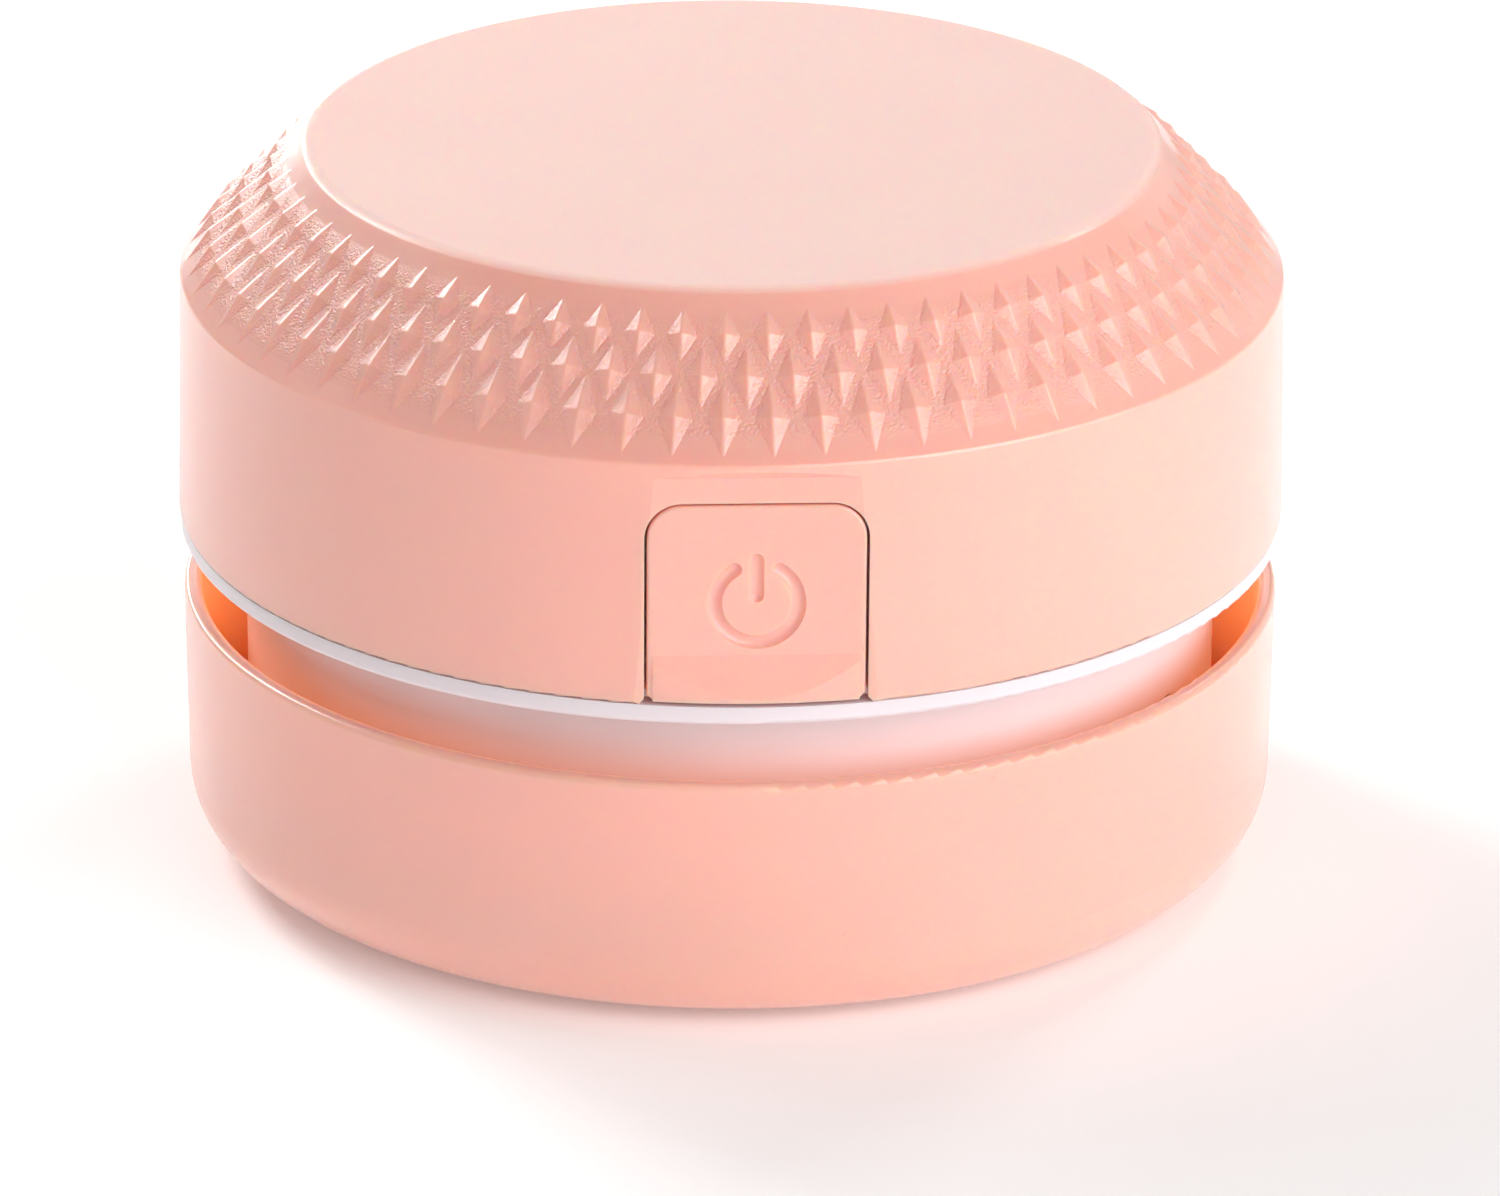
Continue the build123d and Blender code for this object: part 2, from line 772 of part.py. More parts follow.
def motor_bracket():
    plate = disc(bracket_radius, bracket_low, bracket_top)
    post = Pos(post_circle, 0, 0) * disc(post_radius, deck_top, bracket_top)
    posts = [spin * post for spin in around(post_count, post_azimuth)]
    standoff_middle = (board_front + bracket_radius) / 2
    standoff = disc(standoff_radius, bracket_low, board_low)
    standoffs = [Pos(side * standoff_offset, standoff_middle, 0) * standoff for side in (-1, 1)]
    plate = plate + [*posts, *standoffs]
    pilot = Pos(post_circle, 0, 0) * disc(pilot_radius, deck_low, deck_low + post_screw_length + overrun)
    cuts = [spin * pilot for spin in around(post_count, post_azimuth)]
    through = disc(screw_hole_radius, bracket_low - overrun, bracket_top + overrun)
    motor_hole = Pos(motor_screw_circle, 0, 0) * through
    cuts += [spin * motor_hole for spin in around(motor_screw_count)]
    cuts.append(disc(boss_radius + seat_gap, bracket_low - overrun, bracket_top + overrun))
    return plate - cuts


def housing_screws():
    piece = Pos(housing_screw_circle, 0, ring_low) * sunk_screw(screw_length)
    return Compound([spin * piece for spin in around(housing_screw_count, housing_screw_azimuth)])


def bracket_screws():
    piece = Pos(post_circle, 0, deck_low) * screw(post_screw_length, screw_head_height)
    return Compound([spin * piece for spin in around(post_count, post_azimuth)])


def motor_screws():
    length = bracket_thickness + can_wall
    piece = Pos(motor_screw_circle, 0, bracket_low) * screw(length, motor_screw_head_height)
    return Compound([spin * piece for spin in around(motor_screw_count)])


def battery_cell():
    cell = Pos(-cell_offset, 0, cell_height) * Rot(90, 0, 0) * Cylinder(cell_radius, 2 * cell_half)
    return fillet(cell.edges().filter_by(GeomType.CIRCLE), cell_edge_radius)


def battery_cradle():
    left = -cell_offset - cradle_width / 2
    right = -cell_offset + cradle_width / 2
    end = cradle_inner_half
    base = block(left, right, -end, end, bracket_top, bracket_top + cradle_floor + cradle_rise)
    seat = Cylinder(cell_radius + seat_gap, 2 * end + overrun)
    channel = Pos(-cell_offset, 0, cell_height) * Rot(90, 0, 0) * seat
    wall_top = bracket_top + cradle_floor + cradle_end_rise
    back_wall = block(left, right, end, cradle_half, bracket_top, wall_top)
    front_wall = block(left, right, -cradle_half, -end, bracket_top, wall_top)
    return base - channel + [back_wall, front_wall]


def battery_tabs():
    left = -cell_offset - tab_width / 2
    right = -cell_offset + tab_width / 2
    low = cell_height - tab_height / 2
    high = cell_height + tab_height / 2
    back = block(left, right, cell_half, tab_back, low, high)
    front = block(left, right, -tab_back, -cell_half, low, high)
    return Compound([back, front])


def control_board():
    half = board_width / 2
    return block(-half, half, board_front, board_back, board_low, board_top)


def control_chips():
    middle = (board_front + socket_end) / 2
    half_width = chip_width / 2
    half_depth = chip_depth / 2
    front = middle - half_depth
    back = middle + half_depth
    chip = block(-half_width, half_width, front, back, board_top, board_top + chip_height)
    return Compound([Pos(side * chip_spacing / 2, 0, 0) * chip for side in (-1, 1)])


def usb_socket():
    middle = Pos(0, socket_height_middle)
    sleeve = upright(middle * SlotOverall(socket_width, socket_height), socket_end, socket_mouth)
    inside = SlotOverall(socket_width - 2 * socket_wall, socket_height - 2 * socket_wall)
    return sleeve - upright(middle * inside, socket_end - overrun, socket_mouth + overrun)


def usb_tongue():
    middle = Pos(0, socket_height_middle)
    inner_gap = socket_wall + seat_gap
    plug = SlotOverall(socket_width - 2 * inner_gap, socket_height - 2 * inner_gap)
    back = upright(middle * plug, socket_end, socket_end + socket_back)
    tongue = Rectangle(tongue_width, tongue_thickness)
    return back + upright(middle * tongue, socket_end, socket_end + socket_back + tongue_length)


def light_flange_back():
    inner = sqrt(wall_inner_middle**2 - (light_offset + light_flange_radius) ** 2)
    return inner - running_gap


def light_pipe():
    mouth = sqrt(wall_middle_radius**2 - (light_offset + light_radius) ** 2)
    flange_back = light_flange_back()
    flange_front = flange_back - light_flange_thickness
    pipe = rod(light_radius, flange_front, mouth, light_offset, socket_height_middle)
    return pipe + rod(light_flange_radius, flange_front, flange_back, light_offset, socket_height_middle)


def charge_led():
    half = led_width / 2
    back = light_flange_back() - light_flange_thickness - running_gap
    high = socket_height_middle + half
    return block(light_offset - half, light_offset + half, back - led_depth, back, board_top, high)


def switch_body():
    half = switch_width / 2
    shape = block(-half, half, switch_front, switch_back, switch_middle - half, switch_middle + half)
    mouth = switch_front - overrun
    return shape - rod(plunger_radius + running_gap, mouth, switch_well_end, 0, switch_middle)


def switch_plunger():
    return rod(plunger_radius, plunger_front, plunger_back, 0, switch_middle)


def switch_board():
    half = switch_board_width / 2
    low = bracket_top + switch_foot_thickness
    return block(-half, half, switch_back, switch_board_back, low, switch_top)


def switch_bracket():
    half = switch_board_width / 2
    arm = block(-half, half, switch_board_back, switch_board_back + switch_arm, bracket_top, switch_top)
    foot_front = switch_back
    foot_back = switch_board_back + switch_arm + switch_foot_depth
    foot = block(-half, half, foot_front, foot_back, bracket_top, bracket_top + switch_foot_thickness)
    return arm + foot


def motor_leads():
    height = end_cap_top + terminal_height / 2
    start = terminal_width / 2
    drop = board_front + lead_bend
    leads = []
    for side in (-1, 1):
        across = side * terminal_offset
        points = [(across, start, height), (across, drop, height), (across, drop, board_top)]
        leads.append(tube(lead_radius, points, lead_bend))
    return Compound(leads)


def battery_leads():
    height = cell_height + tab_height / 2 - lead_radius
    out = tab_back + lead_radius
    left = -cell_offset
    drop_x = -board_width / 2 + lead_bend
    lane = -(can_radius + cell_offset - cell_radius) / 2
    lane_end = board_front + 2 * lead_bend
    positive = [(left, out, height), (drop_x, out, height), (drop_x, out, board_top)]
    negative = [
        (left, -out, height),
        (lane, -out, height),
        (lane, lane_end, height),
        (drop_x + lead_bend, lane_end, height),
        (drop_x + lead_bend, lane_end, board_top),
    ]
    return Compound([tube(lead_radius, points, lead_bend) for points in (positive, negative)])


def switch_lead():
    start_x = switch_board_width / 2 - lead_bend
    start_y = (switch_back + switch_board_back) / 2
    height = switch_top + lead_rise
    lane = can_radius + lead_rise
    end_x = lane - 3 * lead_bend
    end_y = board_front + lead_bend
    points = [
        (start_x, start_y, switch_top),
        (start_x, start_y, height),
        (lane, start_y + lane, height),
        (lane, end_y, height),
        (end_x, end_y, height),
        (end_x, end_y, board_top),
    ]
    return tube(switch_lead_radius, points, lead_bend)


nodes = {
    "upper_housing": upper_housing(),
    "power_button": power_button(),
    "fan_housing": fan_housing(),
    "dust_cup": dust_cup(),
    "cup_seal": cup_seal(),
    "brush_ring": brush_ring(),
    "brush_bristles": brush_bristles(),
    "filter_frame": filter_frame(),
    "filter_mesh": filter_mesh(),
    "filter_pad": filter_pad(),
    "impeller": impeller(),
    "motor_shaft": motor_shaft(),
    "motor_armature": motor_armature(),
    "motor_magnets": motor_magnets(),
    "motor_can": motor_can(),
    "motor_bush": motor_bush(),
    "motor_end_cap": motor_end_cap(),
    "motor_terminals": motor_terminals(),
    "motor_bracket": motor_bracket(),
    "motor_screws": motor_screws(),
    "bracket_screws": bracket_screws(),
    "housing_screws": housing_screws(),
    "battery_cell": battery_cell(),
    "battery_cradle": battery_cradle(),
    "battery_tabs": battery_tabs(),
    "control_board": control_board(),
    "control_chips": control_chips(),
    "usb_socket": usb_socket(),
    "usb_tongue": usb_tongue(),
    "light_pipe": light_pipe(),
    "charge_led": charge_led(),
    "switch_bracket": switch_bracket(),
    "switch_board": switch_board(),
    "switch_body": switch_body(),
    "switch_plunger": switch_plunger(),
    "motor_leads": motor_leads(),
    "battery_leads": battery_leads(),
    "switch_lead": switch_lead(),
}

os.makedirs("parts", exist_ok=True)
for name, shape in nodes.items():
    export_step(shape, f"parts/{name}.step")
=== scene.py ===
import math
from functools import partial

import bmesh
import bpy
from bpy.props import FloatProperty, FloatVectorProperty, IntProperty, PointerProperty
from mathutils import Matrix, Quaternion, Vector


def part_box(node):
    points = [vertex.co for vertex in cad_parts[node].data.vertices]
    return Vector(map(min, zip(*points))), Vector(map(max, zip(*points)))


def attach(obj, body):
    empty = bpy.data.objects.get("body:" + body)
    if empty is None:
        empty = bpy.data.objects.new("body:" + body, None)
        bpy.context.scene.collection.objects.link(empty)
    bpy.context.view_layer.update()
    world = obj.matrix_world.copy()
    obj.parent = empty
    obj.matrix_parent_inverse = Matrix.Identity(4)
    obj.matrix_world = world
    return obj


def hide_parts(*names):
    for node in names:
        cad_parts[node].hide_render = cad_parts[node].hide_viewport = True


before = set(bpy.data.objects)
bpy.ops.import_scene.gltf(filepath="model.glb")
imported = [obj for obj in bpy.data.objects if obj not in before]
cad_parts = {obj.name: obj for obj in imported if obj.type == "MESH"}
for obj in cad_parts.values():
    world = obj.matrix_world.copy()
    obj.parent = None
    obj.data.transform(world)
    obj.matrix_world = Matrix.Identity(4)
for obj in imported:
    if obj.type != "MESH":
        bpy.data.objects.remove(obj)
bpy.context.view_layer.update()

bl_info = {
    "name": "Desktop vacuum cleaner",
    "version": (1, 0, 0),
    "blender": (4, 5, 0),
    "location": "3D View > Sidebar > Vacuum",
    "description": "Finishes, brush, filter and stage of a round desktop vacuum cleaner",
    "category": "Object",
}

# Moulded plastic: shades of its flow clouds, spread of its gloss, depth of its orange peel in metres
cloud_shades = (0.965, 1.03)
gloss_spread = (0.82, 0.36)
peel_depth = 0.00005
coat_weight = 0.5
coat_roughness = 0.12

# Grip band on the cone of the upper housing, in metres, and the depth of its grain
shoulder = 0.0469
shoulder_radius = 0.0430
cone_up_share = 0.7241
cone_in_share = 0.6897
grip_climb = (0.0016, 0.0122)
grip_fade = 0.0010
stud_height = 0.0005
grip_depth = 2.5

# Matt top disc of the upper housing, also painted a lighter peach as painted light from above: its edge in
# metres, its roughness
matt_rise = (0.0569, 0.0573)
matt_roughness = 0.65

# Inner wall of the dust cup, where an orange glow is painted on as emission in place of light that comes
# through the thin plastic, in metres
cup_inside_edge = (0.0417, 0.0423)
cup_inside_limit = (0.0390, 0.0400)
cup_inside_rise = (0.0060, 0.0160)

# Pieces that share one finish, by CAD node
white_pieces = ("fan_housing", "filter_frame", "brush_ring", "impeller")
ivory_pieces = ("motor_bracket", "motor_end_cap", "battery_cradle", "switch_bracket")
screw_pieces = ("motor_screws", "bracket_screws", "housing_screws")
steel_pieces = ("motor_can", "motor_shaft", "usb_socket", *screw_pieces)
brass_pieces = ("motor_bush", "motor_terminals", "battery_tabs")
iron_pieces = ("motor_armature", "motor_magnets")
board_pieces = ("control_board", "switch_board")
black_pieces = ("control_chips", "usb_tongue", "switch_body", "switch_plunger")
clear_pieces = ("light_pipe", "charge_led")
red_leads = ("motor_leads", "battery_leads")
black_leads = ("switch_lead",)

# Metals: finish, pieces, colour, roughness, stretch of the drawn lines
metals = (
    ("plated_steel", steel_pieces, (0.62, 0.63, 0.65), 0.32, (1, 1, 12)),
    ("plated_brass", brass_pieces, (0.72, 0.52, 0.26), 0.34, (1, 12, 1)),
    ("sheet_iron", iron_pieces, (0.20, 0.20, 0.21), 0.5, (1, 1, 40)),
)

# Plastics of the electrics: finish, pieces, colour, roughness, grain
electric_plastics = (
    ("solder_mask", board_pieces, (0.02, 0.13, 0.06), 0.3, 0.1),
    ("black_plastic", black_pieces, (0.02, 0.02, 0.022), 0.4, 0.1),
    ("cell_wrap", ("battery_cell",), (0.04, 0.16, 0.40), 0.25, 0.06),
)

# Insulation of the leads: finish, pieces, colour
insulation = (
    ("red_insulation", red_leads, (0.45, 0.02, 0.02)),
    ("black_insulation", black_leads, (0.02, 0.02, 0.02)),
)
seal_grey = (0.62, 0.62, 0.63)

# Foam pad: rounding of its rim as a share of half its height, steps along its outline, sides round it
pad_rim_share = 0.7
pad_steps = 12
pad_sides = 96
pad_weld = 0.000002

# Brush strands: sides, rings, shortest strand as a share of the longest, seeds of the random draws
strand_sides = 5
strand_rings = 3
strand_shortest = 0.94
spread_seed = 7
lean_seed = 11
trim_seed = 3

# Softboxes: name, degrees round from the front towards +X, degrees up, side in metres, watts
softboxes = (
    ("front", 0, 32, 0.9, 0.9),
    ("right_front", 35, 15, 0.9, 5.4),
    ("right", 60, 15, 0.9, 5.5),
    ("left", -90, 20, 0.5, 0.7),
    ("edge_left", -142, 42, 0.2, 2.6),
    ("edge_right", 142, 42, 0.2, 1.2),
    ("right_rim", 140, 14, 0.4, 0.3),
    ("back", 180, 20, 0.4, 0.7),
)

# Strip light that the upper left facets of the studs mirror: its ends in degrees round and up, width, watts
strip_ends = ((-162, 3), (-108, 48))
strip_width = 0.13
strip_power = 3.0

# Height of the point that the lights face, in metres, and the camera's sensor, in millimetres
light_target = 0.03
sensor_width = 36


class Field:
    """One output socket of a shader tree. Arithmetic on it adds Math nodes."""

    def __init__(self, finish, socket):
        self.finish = finish
        self.socket = socket

    def math(self, operation, *terms):
        return self.finish.node("ShaderNodeMath", {"operation": operation}, dict(enumerate(terms)))

    def __add__(self, other):
        return self.math("ADD", self, other)

    def __radd__(self, other):
        return self.math("ADD", other, self)

    def __sub__(self, other):
        return self.math("SUBTRACT", self, other)

    def __rsub__(self, other):
        return self.math("SUBTRACT", other, self)

    def __mul__(self, other):
        return self.math("MULTIPLY", self, other)

    def __rmul__(self, other):
        return self.math("MULTIPLY", other, self)

    def __truediv__(self, other):
        return self.math("DIVIDE", self, other)

    def __rtruediv__(self, other):
        return self.math("DIVIDE", other, self)


class Finish:
    """A material under construction: its tree, its shader and the nodes that feed it."""

    def __init__(self, name, **constants):
        self.material = bpy.data.materials.new(name)
        self.material.use_nodes = True
        self.tree = self.material.node_tree
        self.shader = self.tree.nodes["Principled BSDF"]
        for socket, value in constants.items():
            self.shader.inputs[socket.replace("_", " ").title().replace("Ior", "IOR")].default_value = value
        self.place = self.node("ShaderNodeTexCoord", output="Object")

    def join(self, value, socket):
        if isinstance(value, Field):
            self.tree.links.new(value.socket, socket)
        else:
            socket.default_value = value

    def node(self, kind, settings=None, sockets=None, output=0):
        made = self.tree.nodes.new(kind)
        for key, value in (settings or {}).items():
            setattr(made, key, value)
        for key, value in (sockets or {}).items():
            self.join(value, made.inputs[key])
        return Field(self, made.outputs[output])

    def noise(self, scale, detail=2, roughness=0.5, place=None):
        sockets = {"Vector": place or self.place, "Scale": scale, "Detail": detail, "Roughness": roughness}
        return self.node("ShaderNodeTexNoise", sockets=sockets)

    def limit(self, value, low, high, start=0.0, end=1.0):
        return self.node("ShaderNodeMapRange", sockets={0: value, 1: low, 2: high, 3: start, 4: end})

    def axis(self, name):
        return self.node("ShaderNodeSeparateXYZ", sockets={0: self.place}, output=name)

    def radius(self):
        """Distance from the object's upright axis."""
        x, y = self.axis("X"), self.axis("Y")
        return self.node("ShaderNodeMath", {"operation": "SQRT"}, {0: x * x + y * y})

    def height(self):
        return self.axis("Z")

    def squeeze(self, x, y, z):
        return self.node("ShaderNodeMapping", sockets={"Vector": self.place, "Scale": (x, y, z)})

    def blend(self, share, first, second):
        settings = {"data_type": "RGBA"}
        return self.node("ShaderNodeMix", settings, {0: share, 6: first, 7: second}, output=2)

    def shades(self, share, colour, dark, light):
        """A darker shade of the colour where the share is 0, a lighter one where it is 1."""
        return self.blend(share, tint(colour, dark), tint(colour, light))

    def colour(self, value):
        self.join(value, self.shader.inputs["Base Color"])

    def rough(self, value):
        self.join(value, self.shader.inputs["Roughness"])

    def emit(self, value):
        self.join(value, self.shader.inputs["Emission Color"])

    def bump(self, height, strength, distance):
        sockets = {"Height": height, "Strength": strength, "Distance": distance}
        self.join(self.node("ShaderNodeBump", sockets=sockets), self.shader.inputs["Normal"])


def tint(colour, share):
    """The same colour, lighter (share above 1) or darker, with alpha."""
    return tuple(min(1.0, part * share) for part in colour[:3]) + (1.0,)


def moulded_plastic(name, colour, roughness, grain, relief=None, painted_glow=None, matt_top=None, **constants):
    """Injection-moulded plastic: faint flow clouds, uneven gloss and fine orange peel; where asked, a
    painted glow and a matt top disc painted lighter as painted light.
    """
    finish = Finish(name, **constants)
    clouds = finish.noise(scale=55, detail=3)
    base = finish.shades(clouds, colour, *cloud_shades)
    # A painted glow: emission that stands in for light coming through the plastic
    if painted_glow:
        finish.emit(painted_glow(finish))
    least, spread = gloss_spread
    rough = roughness * least + finish.noise(scale=320, detail=4, roughness=0.6) * (roughness * spread)
    # Matt top disc: real matt roughness without coat, and a lighter peach that is painted light from above
    # and painted sheen
    if matt_top:
        matt = finish.limit(finish.height(), *matt_rise)
        base = finish.blend(matt, base, finish.shades(clouds, matt_top, *cloud_shades))
        rough = rough * (1 - matt) + matt * matt_roughness
        finish.join((1 - matt) * coat_weight, finish.shader.inputs["Coat Weight"])
    finish.colour(base)
    finish.rough(rough)
    height = finish.noise(scale=2600) * grain
    if relief:
        height = height + relief(finish)
    finish.bump(height, strength=1.0, distance=peel_depth)
    return finish.material


def grip_grain(finish):
    """Sparkling grain in the channels between the studs of the grip band, fainter on the studs."""
    across = finish.radius() - shoulder_radius
    up = finish.height() - shoulder
    above = across * cone_up_share + up * cone_in_share
    climb = up * cone_up_share - across * cone_in_share
    low, high = grip_climb
    band = finish.limit(climb, low, low + grip_fade) * finish.limit(climb, high, high - grip_fade)
    channel = finish.limit(above, stud_height * 0.5, stud_height * 0.1, 0.12, 1.0)
    return finish.noise(scale=4600, detail=1) * band * channel * grip_depth


def painted_cup_glow(finish, colour):
    """Painted glow: orange emission on the cup's inner side and the inner half of its rim, standing in for
    light that comes through the cup's wall.
    """
    across = finish.radius()
    inner, outer = cup_inside_edge
    wall = finish.limit(across, outer, inner) * finish.limit(across, *cup_inside_limit)
    share = wall * finish.limit(finish.height(), *cup_inside_rise)
    return finish.blend(share, (0, 0, 0, 1), tint(colour, 1.0))


def brushed_metal(name, colour, roughness, stretch):
    """Plated metal with fine drawn lines along one direction."""
    finish = Finish(name, metallic=1.0)
    lines = finish.noise(scale=700, detail=4, roughness=0.65, place=finish.squeeze(*stretch))
    finish.colour(finish.shades(lines, colour, dark=0.82, light=1.08))
    finish.rough(roughness * 0.7 + lines * (roughness * 0.6))
    finish.bump(lines, strength=0.12, distance=0.00003)
    return finish.material


def wear(nodes, material):
    for name in nodes:
        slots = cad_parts[name].data.materials
        slots.clear()
        slots.append(material)


class ShellSettings(bpy.types.PropertyGroup):
    peach: FloatVectorProperty(
        name="Peach", description="Colour of the housing, the button and the dust cup", subtype="COLOR",
        default=(0.93, 0.47, 0.39), min=0, max=1,
    )
    # Lighter peach of the top disc: painted light from above and painted sheen
    painted_light_top_peach: FloatVectorProperty(
        name="Top peach", description="Colour of the matt disc on top of the housing", subtype="COLOR",
        default=(0.95, 0.62, 0.56), min=0, max=1,
    )
    white: FloatVectorProperty(
        name="White", description="Colour of the fan housing and the filter frame", subtype="COLOR",
        default=(0.77, 0.69, 0.72), min=0, max=1,
    )
    gloss: FloatProperty(
        name="Roughness", description="Roughness of the peach plastic", subtype="FACTOR",
        default=0.3, min=0, max=1,
    )
    glow: FloatProperty(
        name="Glow", description="Share of the light that enters the peach plastic", subtype="FACTOR",
        default=0.9, min=0, max=1,
    )
    glow_reach: FloatVectorProperty(
        name="Glow reach", description="How far red, green and blue light travel in the peach plastic",
        unit="LENGTH", default=(0.0015, 0.0006, 0.0002), min=0,
    )
    milk_reach: FloatVectorProperty(
        name="Milk reach", description="How far red, green and blue light travel in the white plastic",
        unit="LENGTH", default=(0.0012, 0.0009, 0.0009), min=0,
    )
    # Colour of the painted glow, an emission on the inner side of the thin cup
    painted_cup_glow: FloatVectorProperty(
        name="Painted cup glow", description="Light that shows on the inner side of the thin cup", subtype="COLOR",
        default=(0.55, 0.17, 0.03), min=0, max=1,
    )
    cup_glow: FloatProperty(
        name="Cup glow", description="How much farther light travels in the thin cup", default=2.2, min=0,
    )


class BrushSettings(bpy.types.PropertyGroup):
    rows: IntProperty(name="Rows", description="Rings of tufts round the suction mouth", default=4, min=1)
    inner_circle: FloatProperty(
        name="Inner circle", description="Radius of the innermost ring of tufts",
        unit="LENGTH", default=0.0130,
    )
    outer_circle: FloatProperty(
        name="Outer circle", description="Radius of the outermost ring of tufts",
        unit="LENGTH", default=0.0187,
    )
    pitch: FloatProperty(
        name="Pitch", description="Distance between two tufts of a ring", unit="LENGTH", default=0.0010,
    )
    strands: IntProperty(name="Strands", description="Strands in each tuft", default=3, min=1)
    spread: FloatProperty(
        name="Spread", description="How far the strands of a tuft stand apart",
        unit="LENGTH", default=0.00022,
    )
    root_radius: FloatProperty(
        name="Root radius", description="Radius of a strand at its root", unit="LENGTH", default=0.00015,
    )
    tip_radius: FloatProperty(
        name="Tip radius", description="Radius of a strand at its tip", unit="LENGTH", default=0.00008,
    )
    lean: FloatProperty(
        name="Lean", description="Largest lean of a strand", subtype="ANGLE", default=math.radians(5),
    )


class FilterSettings(bpy.types.PropertyGroup):
    crown: FloatProperty(
        name="Crown", description="How much thinner the foam pad is at its rim",
        unit="LENGTH", default=0.0004,
    )
    foam: FloatVectorProperty(
        name="Foam", description="Colour of the foam pad", subtype="COLOR",
        default=(0.045, 0.045, 0.05), min=0, max=1,
    )


class StageSettings(bpy.types.PropertyGroup):
    camera_place: FloatVectorProperty(
        name="Camera place", description="Where the camera stands", subtype="TRANSLATION",
        default=(-0.03453, -0.73231, 0.32020),
    )
    camera_target: FloatVectorProperty(
        name="Camera target", description="Point in the middle of the picture", subtype="TRANSLATION",
        default=(0.001578, -0.000074, 0.01878),
    )
    lens: FloatProperty(name="Lens", description="Focal length in millimetres", default=240.8, min=1)
    roll: FloatProperty(
        name="Roll", description="Roll of the camera", subtype="ANGLE", default=math.radians(0.4),
    )
    fill: FloatProperty(name="Fill", description="Strength of the white surroundings", default=0.14, min=0)
    light_reach: FloatProperty(
        name="Light distance", description="Distance of the softboxes from the object",
        unit="LENGTH", default=0.9,
    )
    floor_size: FloatProperty(
        name="Floor", description="Side of the square floor", unit="LENGTH", default=6.0,
    )
    floor_lift: FloatProperty(
        name="Floor lift", description="Light that the floor gives off by itself", default=0.13, min=0,
    )
    floor_colour: FloatVectorProperty(
        name="Floor colour", description="Colour of the floor", subtype="COLOR", default=(0.97, 0.97, 0.97),
    )


class VACUUM_OT_shells(bpy.types.Operator):
    """Gives the peach and the white mouldings their finish"""

    bl_idname = "vacuum.shells"
    bl_label = "Finish shells"

    def execute(self, context):
        settings = context.scene.vacuum_shell
        peach = {
            "subsurface_weight": settings.glow,
            "subsurface_radius": settings.glow_reach,
            "subsurface_scale": 1.0,
            "coat_weight": coat_weight,
            "coat_roughness": coat_roughness,
        }
        # The thin cup's emission strength lights its painted glow
        thin = dict(peach, subsurface_scale=settings.cup_glow, emission_strength=1.0)
        milky = {
            "subsurface_weight": 0.6,
            "subsurface_radius": settings.milk_reach,
            "subsurface_scale": 1.0,
        }
        glossy = {"colour": settings.peach, "roughness": settings.gloss, "grain": 0.05}
        satin = {"colour": settings.white, "roughness": 0.34, "grain": 0.05}
        # The housing's top disc gets the lighter peach, a painted top light
        shell = dict(peach, relief=grip_grain, matt_top=settings.painted_light_top_peach)
        wear(("upper_housing",), moulded_plastic("shell_peach", **glossy, **shell))
        wear(("power_button",), moulded_plastic("button_peach", **glossy, **peach))
        # Painted glow on the cup's inner wall: emission in place of light coming through the thin plastic
        painted_inside_glow = partial(painted_cup_glow, colour=settings.painted_cup_glow)
        wear(("dust_cup",), moulded_plastic("cup_peach", **glossy, painted_glow=painted_inside_glow, **thin))
        wear(white_pieces, moulded_plastic("satin_white", **satin, **milky))
        return {"FINISHED"}


class VACUUM_OT_brush(bpy.types.Operator):
    """Grows the brush strands round the suction mouth"""

    bl_idname = "vacuum.brush"
    bl_label = "Grow brush"

    def execute(self, context):
        settings = context.scene.vacuum_brush
        low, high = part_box("brush_bristles")
        brush = bpy.data.objects.new("brush_strands", bpy.data.meshes.new("brush_strands"))
        context.scene.collection.objects.link(brush)
        tree = strand_tree(settings.rows, brush_nylon())
        spacing = (settings.outer_circle - settings.inner_circle) / max(1, settings.rows - 1)
        sizes = {
            "Root height": high.z,
            "Length": high.z - low.z,
            "Strands": settings.strands,
            "Spread": settings.spread,
            "Root radius": settings.root_radius,
            "Tip radius": settings.tip_radius,
            "Lean": settings.lean,
        }
        for row in range(settings.rows):
            radius = settings.inner_circle + row * spacing
            sizes[f"Radius {row}"] = radius
            sizes[f"Tufts {row}"] = int(math.tau * radius / settings.pitch)
        solidify_tree(brush, tree, sizes)
        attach(brush, "dust_cup_unit")
        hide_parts("brush_bristles")
        return {"FINISHED"}


class VACUUM_OT_filter(bpy.types.Operator):
    """Makes the foam pad of the filter and finishes its net and the cup's seal"""

    bl_idname = "vacuum.filter"
    bl_label = "Make filter"

    def execute(self, context):
        settings = context.scene.vacuum_filter
        low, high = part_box("filter_pad")
        pad = foam_pad(low, high, settings.crown)
        pad.data.materials.append(open_foam(settings.foam))
        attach(pad, "upper_unit")
        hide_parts("filter_pad")
        wear(("filter_mesh",), filter_net())
        wear(("cup_seal",), soft_rubber("seal_silicone", seal_grey))
        return {"FINISHED"}


class VACUUM_OT_drive(bpy.types.Operator):
    """Finishes the motor, its bracket and the screws"""

    bl_idname = "vacuum.drive"
    bl_label = "Finish drive"

    def execute(self, context):
        ivory = {"colour": (0.78, 0.76, 0.70), "roughness": 0.45, "grain": 0.08}
        wear(ivory_pieces, moulded_plastic("ivory_plastic", **ivory))
        for name, pieces, colour, roughness, stretch in metals:
            wear(pieces, brushed_metal(name, colour, roughness, stretch))
        return {"FINISHED"}


